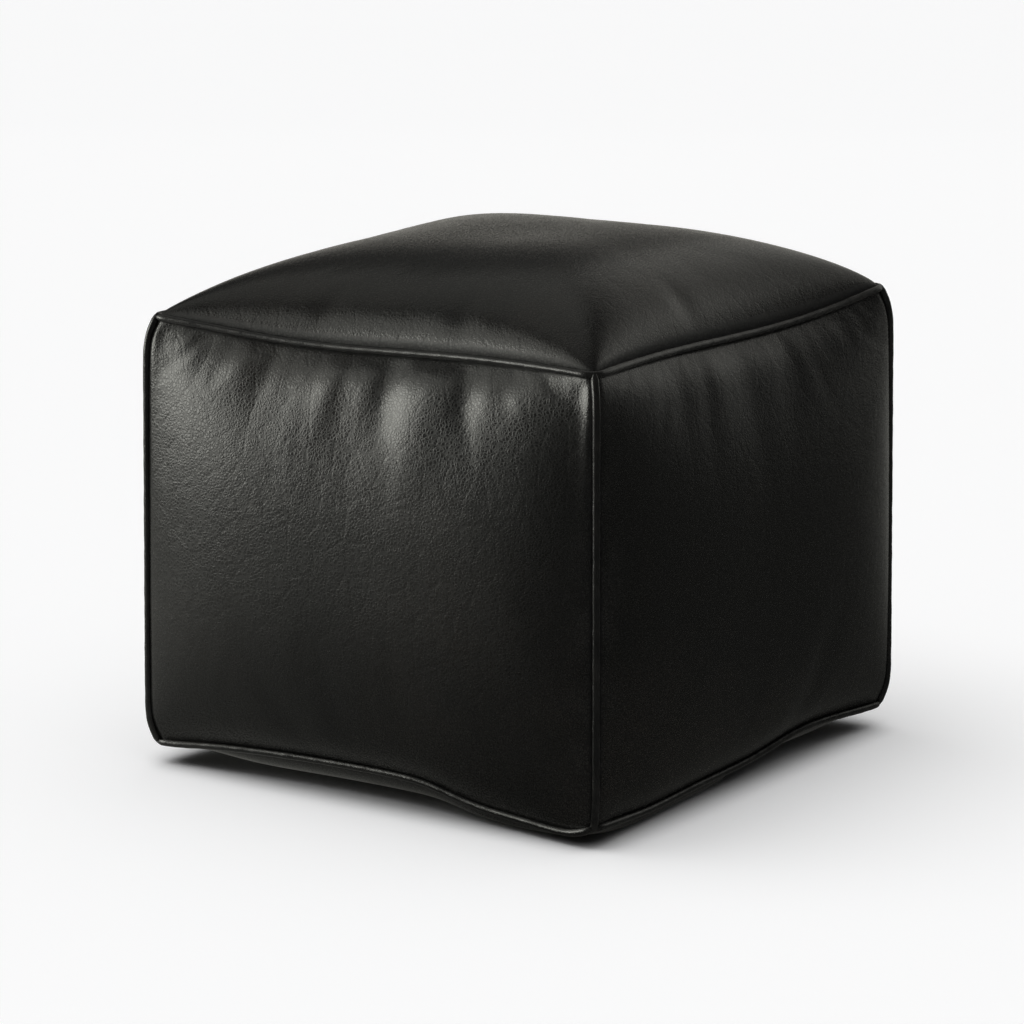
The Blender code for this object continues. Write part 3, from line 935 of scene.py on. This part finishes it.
@dataclass
class SidePanel(LeatherPanel):
    """A panel between a top seam, a base seam and two corner seams."""

    side: Side = Side.FRONT
    belly: float = 0.106

    def half_sizes(self) -> tuple[float, float]:
        """Half the panel's width and height."""
        return self.cage.top.half, (self.cage.top.height - self.cage.base.height) / 2

    def form(self, s: Array, t: Array) -> Array:
        """The panel's smooth form, fuller low down where the stuffing settles.

        Args:
            s: Places across the panel, from -1 to 1.
            t: Places up it, from -1 to 1.

        Returns:
            A point for each place.
        """
        points = self.cage.side_patch(self.side, s, t)
        points[:, 1] -= self.swell.height(s, t) * (1 - self.belly * t)
        return self.side.turned(points)


@dataclass
class TopPanel(LeatherPanel):
    """The seat, inside the top seam."""

    cells: tuple[int, int] = (84, 84)
    swell: Swell = Swell(0.0785, 0.36, 2.66, 0.016, 0.35)
    creasing: float = 0.4
    lean: tuple[float, float] = (0.079, 0.014)

    def half_sizes(self) -> tuple[float, float]:
        """Half the panel's width and depth."""
        return self.cage.top.half, self.cage.top.half

    def form(self, s: Array, t: Array) -> Array:
        """The seat's smooth dome, a little fuller at the back and the right.

        Args:
            s: Places across the panel, from -1 to 1.
            t: Places up it, from -1 to 1.

        Returns:
            A point for each place.
        """
        points = self.cage.cap_patch(self.cage.top, s, t)
        lean = 1 + self.lean[0] * s + self.lean[1] * t
        points[:, 2] += self.swell.height(s, t) * lean
        return points


@dataclass
class BasePanel(LeatherPanel):
    """Half of the base, from its seam to the zip's mouth, flat where it rests on the floor."""

    cells: tuple[int, int] = (100, 50)
    swell: Swell = Swell(0.036, 0.46, 5.0, 0.006)
    creasing: float = 0.0
    faces_down: bool = True
    roll: float = -0.004
    corner_rise: float = 0.55
    corner_reach: float = 0.055
    rear: bool = False
    mouth: float = 0.0078
    mouth_length: float = 0.326
    mouth_end: float = 0.012
    valley: float = 0.030
    valley_depth: float = 0.003

    def half_sizes(self) -> tuple[float, float]:
        """Half the panel's width and depth."""
        return self.cage.base.half, self.cage.base.half / 2

    def form(self, s: Array, t: Array) -> Array:
        """The half's form: down from the seam to the floor, then up a little to the mouth.

        Args:
            s: Places across the panel, from -1 to 1.
            t: Places up it, from -1 to 1.

        Returns:
            A point for each place.
        """
        across = s
        deep = (t - 1) / 2
        points = self.cage.cap_patch(self.cage.base, across, deep)
        rim = points[:, 2].copy()
        corner = ((1 - np.abs(across)) ** 2 + (1 - np.abs(deep)) ** 2) * self.cage.base.half**2
        eased = 1 - self.corner_rise * np.exp(-corner / self.corner_reach**2)
        points[:, 2] = np.maximum(points[:, 2] - self.swell.height(across, deep) * eased, 0.0)
        points[:, :2] *= (1 + self.roll * np.sin(math.pi * (1 - points[:, 2] / rim)))[:, None]
        half_mouth = self.mouth_length / 2
        opened = np.clip((half_mouth + self.mouth_end - np.abs(points[:, 0])) / self.mouth_end, 0, 1)
        gap = self.mouth * opened**0.5
        parted = points[:, 1] - gap * (1 + deep * 2).clip(0, 1) ** 3
        points[:, 1] = np.where(deep > -0.5, parted, points[:, 1])
        near = np.clip(1 + points[:, 1] / self.valley, 0, 1)
        rise = self.valley_depth * near**2 * (3 - 2 * near)
        points[:, 2] = np.maximum(points[:, 2], rise)
        if self.rear:
            points = Side.BACK.turned(points)
        return points


# ---------------------------------------------------------------- piping


@dataclass
class Piping:
    """Cord wrapped in a strip of leather and sewn into a seam."""

    cage: Cage
    radius: float = 0.0033
    corner_sink: float = 0.0018
    sink_reach: float = 0.018
    end_taper: float = 0.006
    weld: float = 0.00002
    round_cells: int = 16
    step: float = 0.004

    def tube(self, name: str, line: Array, outward: Array, closed: bool) -> Any:
        """Wraps a tube round a line.

        Args:
            name: The piece's name.
            line: The points that it follows.
            outward: The way out from the pouf, at each point.
            closed: Whether the line comes back to its start.

        Returns:
            The piece, with its ends closed.
        """
        count = len(line)
        cells = count if closed else count - 1
        piece, a, b = new_sheet(name, cells, self.round_cells)
        place = (a + 1) / 2 * cells
        index = np.rint(place).astype(int) % count
        if closed:
            ahead, behind = np.roll(line, -1, 0), np.roll(line, 1, 0)
        else:
            ahead = np.concatenate([line[1:], line[-1:]])
            behind = np.concatenate([line[:1], line[:-1]])
        tangent = ahead - behind
        tangent /= np.linalg.norm(tangent, axis=1, keepdims=True)
        out = outward - (outward * tangent).sum(1, keepdims=True) * tangent
        out /= np.linalg.norm(out, axis=1, keepdims=True)
        side = np.cross(tangent, out)
        angle = b * math.pi
        run = index * self.step
        slow = 0.035 * np.sin(run * 71.0 + 1.3) * np.sin(run * 173.0)
        wobble = 1 + slow + 0.02 * np.sin(run * 390.0 + angle)
        size = self.radius * wobble
        if not closed:
            end = np.minimum(index, count - 1 - index) * self.step
            size = size * np.clip(0.55 + end / self.end_taper, 0, 1)
        ring = np.cos(angle)[:, None] * out[index] + np.sin(angle)[:, None] * side[index]
        put(piece, line[index] + ring * size[:, None])
        take_up(piece)
        bpy.ops.object.mode_set(mode="EDIT")
        bpy.ops.mesh.select_all(action="SELECT")
        bpy.ops.mesh.remove_doubles(threshold=self.weld)
        if not closed:
            bpy.ops.mesh.select_all(action="DESELECT")
            bpy.ops.mesh.select_non_manifold()
            bpy.ops.mesh.edge_face_add()
        bpy.ops.mesh.select_all(action="SELECT")
        bpy.ops.mesh.normals_make_consistent(inside=False)
        bpy.ops.object.mode_set(mode="OBJECT")
        return piece

    def ring(self, name: str, ring: Ring) -> Any:
        """Makes the piping round the top or the base seam.

        Args:
            name: The piece's name.
            ring: The seam.

        Returns:
            The piece.
        """
        lines, outs = [], []
        for side in Side:
            count = int(2 * ring.half / self.step)
            s = np.linspace(-1, 1, count, endpoint=False)
            points = ring.run(side, s)
            out = points - ring.run(side, s, 0.001)
            out /= np.linalg.norm(out, axis=1, keepdims=True)
            sink = self.corner_sink * np.exp(-(((1 - np.abs(s)) * ring.half / self.sink_reach) ** 2))
            lines.append(side.turned(points - out * sink[:, None]))
            outs.append(side.turned(out))
        return self.tube(name, np.concatenate(lines), np.concatenate(outs), closed=True)

    def corner(self, name: str, side: Side) -> Any:
        """Makes the piping up a corner.

        Args:
            name: The piece's name.
            side: The side whose right-hand end the corner is at.

        Returns:
            The piece.
        """
        length = self.cage.top.height - self.cage.base.height
        t = np.linspace(-1, 1, int(length / self.step))
        line = self.cage.corner_line(side, t)
        points = np.stack([line[:, 0], -line[:, 0], line[:, 1]], 1)
        out = np.tile([1.0, -1.0, 0.0], (len(t), 1))
        return self.tube(name, side.turned(points), side.turned(out), closed=False)

    def build(self, finish: Any, body: str) -> list[Any]:
        """Makes and dresses all the piping.

        Args:
            finish: Its leather.
            body: The body that it rides on.

        Returns:
            The pieces.
        """
        made = {
            "piping_top": self.ring("bead_top", self.cage.top),
            "piping_base": self.ring("bead_base", self.cage.base),
            "piping_front_right": self.corner("bead_front_right", Side.FRONT),
            "piping_back_right": self.corner("bead_back_right", Side.RIGHT),
            "piping_back_left": self.corner("bead_back_left", Side.BACK),
            "piping_front_left": self.corner("bead_front_left", Side.LEFT),
        }
        for node, piece in made.items():
            smooth_shade(piece, 60.0)
            dress(piece, finish)
            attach(piece, body)
            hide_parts(node, node.replace("piping", "piping_cord"))
        return list(made.values())


# ---------------------------------------------------------------- cover


@dataclass
class Cover:
    """The piped leather cover."""

    body: str = "pouf"
    piping_radius: float = 0.00397

    def cage(self) -> Cage:
        """Finds the seam lines from the frame's own piping.

        Returns:
            The seam lines.
        """
        low, high = (Vector(corner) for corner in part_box("piping_top"))
        base_low, base_high = (Vector(corner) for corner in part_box("piping_base"))
        top = Ring(
            half=(high.x - low.x) / 2 - self.piping_radius,
            height=high.z - self.piping_radius,
            draw=0.0161,
            lift=-0.0092,
            sway={Side.FRONT: 0.0038, Side.RIGHT: -0.003},
            drops=(0.0, -0.0012, 0.0, 0.0022),
        )
        base = Ring(
            half=(base_high.x - base_low.x) / 2 - self.piping_radius,
            height=base_low.z + self.piping_radius,
            draw=0.0131,
            lift=0.0076,
            drops=(0.0025, 0.0, 0.0, 0.0020),
            upward=-0.6,
            sags={
                Side.FRONT: (0.72, 0.42, 0.0117),
                Side.RIGHT: (-0.25, 0.60, 0.0140),
                Side.BACK: (0.40, 0.50, 0.0060),
                Side.LEFT: (-0.30, 0.60, 0.0080),
            },
        )
        return Cage(top, base)

    def panels(self) -> list[LeatherPanel]:
        """Lists the panels, with their folds.

        Returns:
            The panels.
        """
        cage = self.cage()
        front_folds = (
            Fold((-0.12, 0.93), (-0.38, 0.36), 0.024, 0.0024),
            Fold((-0.09, 0.93), (-0.16, 0.46), 0.009, -0.0009),
            Fold((0.00, 0.93), (-0.03, 0.54), 0.015, 0.0010),
            Fold((0.10, 0.96), (0.045, 0.46), 0.011, -0.0014),
            Fold((0.27, 0.94), (0.20, 0.30), 0.032, 0.0030),
            Fold((0.475, 0.97), (0.42, 0.62), 0.011, -0.0010),
            Fold((0.55, 0.95), (0.54, 0.70), 0.011, 0.0007),
            Fold((0.625, 0.98), (0.62, 0.74), 0.008, -0.0008),
            Fold((0.69, 0.96), (0.68, 0.74), 0.012, 0.0009),
            Fold((1.00, 0.92), (1.00, 0.10), 0.046, -0.0028),
            Fold((-0.44, 0.97), (-0.52, 0.60), 0.012, -0.0008),
            Fold((-0.54, 0.94), (-0.66, 0.62), 0.017, 0.0011),
            Fold((-0.71, 0.97), (-0.78, 0.68), 0.010, -0.0008),
            Fold((-1.00, 0.90), (-1.00, 0.00), 0.050, -0.0018),
            Fold((-0.81, 0.96), (-0.85, 0.74), 0.011, 0.0007),
            Fold((-0.31, -0.82), (-0.68, -0.14), 0.018, -0.0012),
            Fold((-0.08, -0.78), (-0.26, -0.03), 0.016, -0.0010),
        )
        side_folds = (
            Fold((0.30, 0.98), (0.24, 0.40), 0.016, -0.0011),
            Fold((-0.20, 0.98), (-0.24, 0.34), 0.022, 0.0012),
            Fold((-0.48, 0.98), (-0.50, 0.46), 0.014, -0.0009),
            Fold((0.34, -0.84), (0.62, -0.10), 0.018, -0.0011),
        )
        top_folds = (
            Fold((-0.30, -0.98), (-0.24, -0.72), 0.012, -0.0015),
            Fold((0.34, -0.98), (0.30, -0.70), 0.014, -0.0015),
            Fold((0.98, -0.22), (0.72, -0.20), 0.013, -0.0014),
            Fold((-0.98, 0.30), (-0.70, 0.26), 0.013, -0.0014),
        )
        sides = (
            (Side.FRONT, front_folds, 0.5),
            (Side.RIGHT, side_folds, 0.3),
            (Side.BACK, front_folds[::2], 0.5),
            (Side.LEFT, side_folds, 0.5),
        )
        return [
            SidePanel(
                f"leather_{side.name.lower()}",
                (f"{side.name.lower()}_panel",),
                cage,
                folds=folds,
                creasing=creasing,
                side=side,
            )
            for side, folds, creasing in sides
        ] + [
            TopPanel("leather_top", ("top_panel",), cage, folds=top_folds),
            BasePanel("leather_base_front", ("base_panel_front",), cage),
            BasePanel("leather_base_rear", ("base_panel_rear",), cage, rear=True),
        ]

    def build(self, finishes: Finishes) -> list[Any]:
        """Makes every panel and every run of piping.

        Args:
            finishes: The finishes.

        Returns:
            The pieces.
        """
        pieces = [panel.build(finishes.leather, self.body) for panel in self.panels()]
        pieces += Piping(self.cage()).build(finishes.piping, self.body)
        return pieces


@dataclass
class Inside:
    """What is kept from the frame: the zip, the inner bag and its stuffing."""

    finish_of: Mapping[str, str] = field(
        default_factory=lambda: {
            "zip_tape": "tape",
            "zip_teeth": "teeth",
            "zip_top_stop": "metal",
            "zip_bottom_stop": "metal",
            "zip_slider": "metal",
            "zip_pull": "metal",
            "inner_bag": "liner",
            "filling": "stuffing",
        }
    )

    def build(self, finishes: Finishes, nodes: Mapping[str, Any]) -> list[Any]:
        """Gives each kept node its finish.

        Args:
            finishes: The finishes.
            nodes: The frame's nodes.

        Returns:
            The nodes.
        """
        kept = []
        for name, node in nodes.items():
            for start, finish in self.finish_of.items():
                if name.startswith(start):
                    dress(node, getattr(finishes, finish))
                    kept.append(node)
                    break
        return kept


# ---------------------------------------------------------------- studio


@dataclass(frozen=True)
class Lamp:
    """A soft box that puts a sheen on the leather, placed by bearing and height in degrees."""

    name: str
    bearing: tuple[float, float]
    distance: float
    size: tuple[float, float]
    radiance: float
    tint: tuple[float, float, float] = (1.0, 1.0, 1.0)
    roll: float = 0.0

    def towards(self) -> Vector:
        """Finds the way to the lamp, where a bearing of 0 is out from the front.

        Returns:
            The way, one metre long.
        """
        round_, height = (math.radians(angle) for angle in self.bearing)
        level = math.cos(height)
        return Vector((math.sin(round_) * level, -math.cos(round_) * level, math.sin(height)))


@dataclass
class Studio:
    """A plain pale floor, soft light, and the camera.

    The floor glows faintly and evenly, except for a painted contact shadow where the glow fades out round
    and under the pouf, and glossy rays see a painted reflection on it, brighter on the key lamp's side.
    """

    azimuth: float = 34.6
    elevation: float = 13.48
    distance: float = 4.387
    lens: float = 177.0
    middle: tuple[float, float, float] = (0.0, 0.0, 0.209)
    aim_left: float = 0.0096
    aim_up: float = 0.0006
    paper: RGBA = (0.78, 0.78, 0.783, 1.0)
    paper_grain: float = 300.0
    # The glow fades out near the pouf's footprint, which paints a contact shadow round and under it.
    glow: float = 0.29
    footprint: float = 0.2
    painted_shadow_edge: tuple[float, float] = (0.012, 0.058)
    # The floor's sheen is a painted reflection: glossy rays see the floor glow, brighter towards the key
    # lamp's side.
    sheen_low: float = 0.05
    floor_sheen: float = 0.36
    sheen_way: tuple[float, float] = (-0.9, 0.3)
    sheen_edge: tuple[float, float] = (-0.25, 0.45)
    ambient: float = 1.70
    dim: float = 0.035
    backdrop: float = 0.945
    sun_towards: tuple[float, float, float] = (-0.36, -0.25, 0.90)
    sun_strength: float = 1.06
    sun_spread: float = 50.0
    lamps: tuple[Lamp, ...] = (
        Lamp("key", (-54.0, 10.0), 3.2, (1.8, 1.5), 6.4, (1.0, 1.0, 0.92)),
        Lamp("key_top", (-54.0, 34.0), 3.2, (2.2, 1.2), 1.15, (1.0, 1.0, 0.92)),
        Lamp("left_fill", (-118.0, 58.0), 3.2, (3.0, 2.4), 0.26, (1.0, 1.0, 0.92)),
        Lamp("back_fill", (178.0, 26.0), 3.4, (3.4, 2.0), 0.34, (1.0, 0.98, 0.90)),
        Lamp("back_rim", (-146.0, 5.0), 3.4, (2.6, 0.9), 0.34, (1.0, 0.96, 0.86)),
        Lamp("right_fill", (163.0, 10.0), 3.4, (2.0, 2.2), 0.27, (1.0, 1.0, 0.92)),
    )

    def build(self) -> None:
        """Sets up the floor, the light and the camera."""
        self.lay_floor()
        self.light()
        self.place_camera()

    def lay_floor(self) -> None:
        """Lays the floor."""
        clear_selection()
        bpy.ops.mesh.primitive_plane_add(size=60.0, location=(0, 0, -0.0002))
        floor = bpy.context.object
        floor.name = "floor"
        material, bench = new_material("paper")
        speckle = bench.noise(bench.place(), self.paper_grain, 2.0)
        shade = tuple(c * 0.985 for c in self.paper[:3]) + (1.0,)
        parts = bench.node("ShaderNodeSeparateXYZ", {}, {0: bench.place()})
        # Painted contact shadow: the glow fades to nothing close to the pouf's footprint.
        past = [(parts.out(way).absolute() - self.footprint).or_more(0.0) ** 2.0 for way in (0, 1)]
        clear_of_painted_shadow = ((past[0] + past[1]) ** 0.5).ramp(*self.painted_shadow_edge)
        paper = {
            "Base Color": bench.blend(speckle, shade, self.paper),
            "Roughness": 0.9,
            "Specular IOR Level": 0.1,
            "Emission Color": bench.blend(clear_of_painted_shadow, (0.0, 0.0, 0.0, 1.0), (1.0, 1.0, 1.004, 1.0)),
            "Emission Strength": self.glow,
        }
        matt = bench.node("ShaderNodeBsdfPrincipled", {}, paper).out(0)
        # Painted reflection: what glossy rays see of the floor, brighter towards the key lamp's side.
        towards_key = parts.out(0) * self.sheen_way[0] + parts.out(1) * self.sheen_way[1]
        levels = (self.sheen_low, self.sheen_low + self.floor_sheen)
        low, high = (tuple(c * level for c in (1, 1, 0.92)) + (1,) for level in levels)
        sheen = bench.blend(towards_key.ramp(*self.sheen_edge), low, high)
        shine = bench.node("ShaderNodeEmission", {}, {"Color": sheen, "Strength": 1.0}).out(0)
        glossy = bench.node("ShaderNodeLightPath", {}, {}).out("Is Glossy Ray")
        mixed = bench.node("ShaderNodeMixShader", {}, {0: glossy, 1: matt, 2: shine}).out(0)
        bench.node("ShaderNodeOutputMaterial", {}, {"Surface": mixed})
        dress(floor, material)

    def light(self) -> None:
        """Hangs the lamps and sets the room's own light."""
        for lamp in self.lamps:
            data = bpy.data.lights.new(lamp.name, "AREA")
            data.shape = "RECTANGLE"
            data.size, data.size_y = lamp.size
            data.energy = lamp.radiance * math.pi * lamp.size[0] * lamp.size[1]
            data.color = lamp.tint
            light = self.hang(lamp.name, data, lamp.towards(), lamp.distance)
            light.rotation_euler.rotate_axis("Z", math.radians(lamp.roll))
            light.visible_diffuse = False
        data = bpy.data.lights.new("overhead", "SUN")
        data.energy = self.sun_strength
        data.angle = math.radians(self.sun_spread)
        light = self.hang("overhead", data, Vector(self.sun_towards).normalized(), 3.0)
        light.visible_glossy = False
        world = bpy.data.worlds.new("room")
        bpy.context.scene.world = world
        world.use_nodes = True
        bench = Bench(world.node_tree)
        path = bench.node("ShaderNodeLightPath", {}, {})
        shines, seen = path.out("Is Glossy Ray"), path.out("Is Camera Ray")
        way = bench.node("ShaderNodeTexCoord", {}, {}).out("Generated")
        height = bench.node("ShaderNodeSeparateXYZ", {}, {0: way}).out(2).clamped()
        overhead = height**4.0 * self.ambient
        unlit = 1.0 - shines - seen
        strength = overhead * unlit + shines * self.dim + seen * self.backdrop
        room = bench.node("ShaderNodeBackground", {}, {"Color": (1, 1, 1, 1), "Strength": strength})
        bench.node("ShaderNodeOutputWorld", {}, {"Surface": room.out(0)})
        bpy.context.scene.view_settings.view_transform = "Standard"

    def hang(self, name: str, data: Any, way: Vector, distance: float) -> Any:
        """Hangs a lamp so that it faces the pouf.

        Args:
            name: The lamp's name.
            data: The light itself.
            way: The way to it from the pouf.
            distance: How far off it is.

        Returns:
            The lamp.
        """
        light = bpy.data.objects.new(name, data)
        bpy.context.scene.collection.objects.link(light)
        light.location = Vector(self.middle) + way * distance
        light.rotation_euler = way.to_track_quat("Z", "Y").to_euler()
        return light

    def place_camera(self) -> None:
        """Places the camera."""
        a, e = math.radians(self.azimuth), math.radians(self.elevation)
        back = Vector((math.sin(a) * math.cos(e), -math.cos(a) * math.cos(e), math.sin(e)))
        right = Vector((math.cos(a), math.sin(a), 0.0))
        up = back.cross(right)
        data = bpy.data.cameras.new("camera")
        data.lens = self.lens
        data.sensor_width = 36.0
        data.clip_start, data.clip_end = 0.1, 100.0
        camera = bpy.data.objects.new("camera", data)
        bpy.context.scene.collection.objects.link(camera)
        middle = Vector(self.middle)
        camera.location = middle + back * self.distance
        aim = middle - right * self.aim_left + up * self.aim_up
        camera.rotation_euler = (camera.location - aim).to_track_quat("Z", "Y").to_euler()
        bpy.context.scene.camera = camera


def main() -> None:
    """Builds the pouf and its studio, and reports each piece."""
    logging.basicConfig(level=logging.INFO, format="%(name)s: %(message)s")
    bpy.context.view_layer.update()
    finishes = Finishes()
    parts: list[tuple[str, Callable[[], list[Any]]]] = [
        ("cover", lambda: Cover().build(finishes)),
        ("inside", lambda: Inside().build(finishes, frame["nodes"])),
    ]
    for name, make in parts:
        for piece in make():
            log.info("%s: %s, %d faces", name, piece.name, len(piece.data.polygons))
    Studio().build()


if __name__ == "__main__":
    main()
